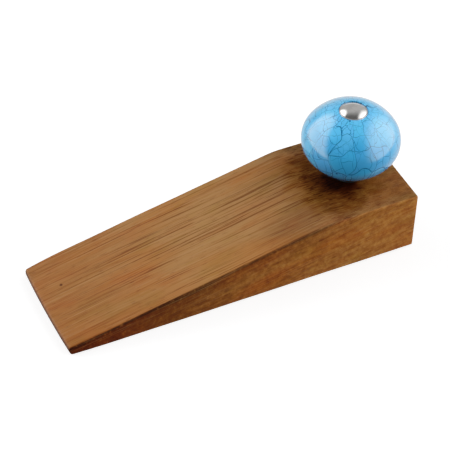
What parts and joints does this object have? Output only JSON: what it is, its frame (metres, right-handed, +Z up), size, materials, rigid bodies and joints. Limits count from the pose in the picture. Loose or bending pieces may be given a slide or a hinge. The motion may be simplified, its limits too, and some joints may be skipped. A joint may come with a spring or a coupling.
{
  "type": "door wedge",
  "caption": "Wooden door wedge with a long ramp and a short level top, carrying a round crackle-glazed ceramic knob as a handle, clamped by a bolt through the wood.",
  "frame": {"origin": "centre of the whole object's footprint, on the floor, under the wedge", "axes": "+X along the wedge from the tip to the thick end, +Y across it, +Z up out of the floor"},
  "size_m": [0.1523, 0.0486, 0.061],
  "materials": {
    "wood": "sanded open-grained hardwood, satin oil",
    "glaze": "glossy turquoise glaze with dark crackle lines",
    "polished_cap": "polished bright plating",
    "steel": "bright zinc-plated steel",
    "rubber_seat": "black rubber",
    "gasket": "natural nylon"
  },
  "bodies": {
    "root": {"wedge_block": "wood", "knob_body": "glaze", "dome_cap": "polished_cap", "cap_gasket": "gasket", "threaded_rod": "steel", "foot_nut": "steel", "seat_washer": "rubber_seat", "underside_washer": "steel", "hex_nut": "steel"}
  },
  "joints": []
}
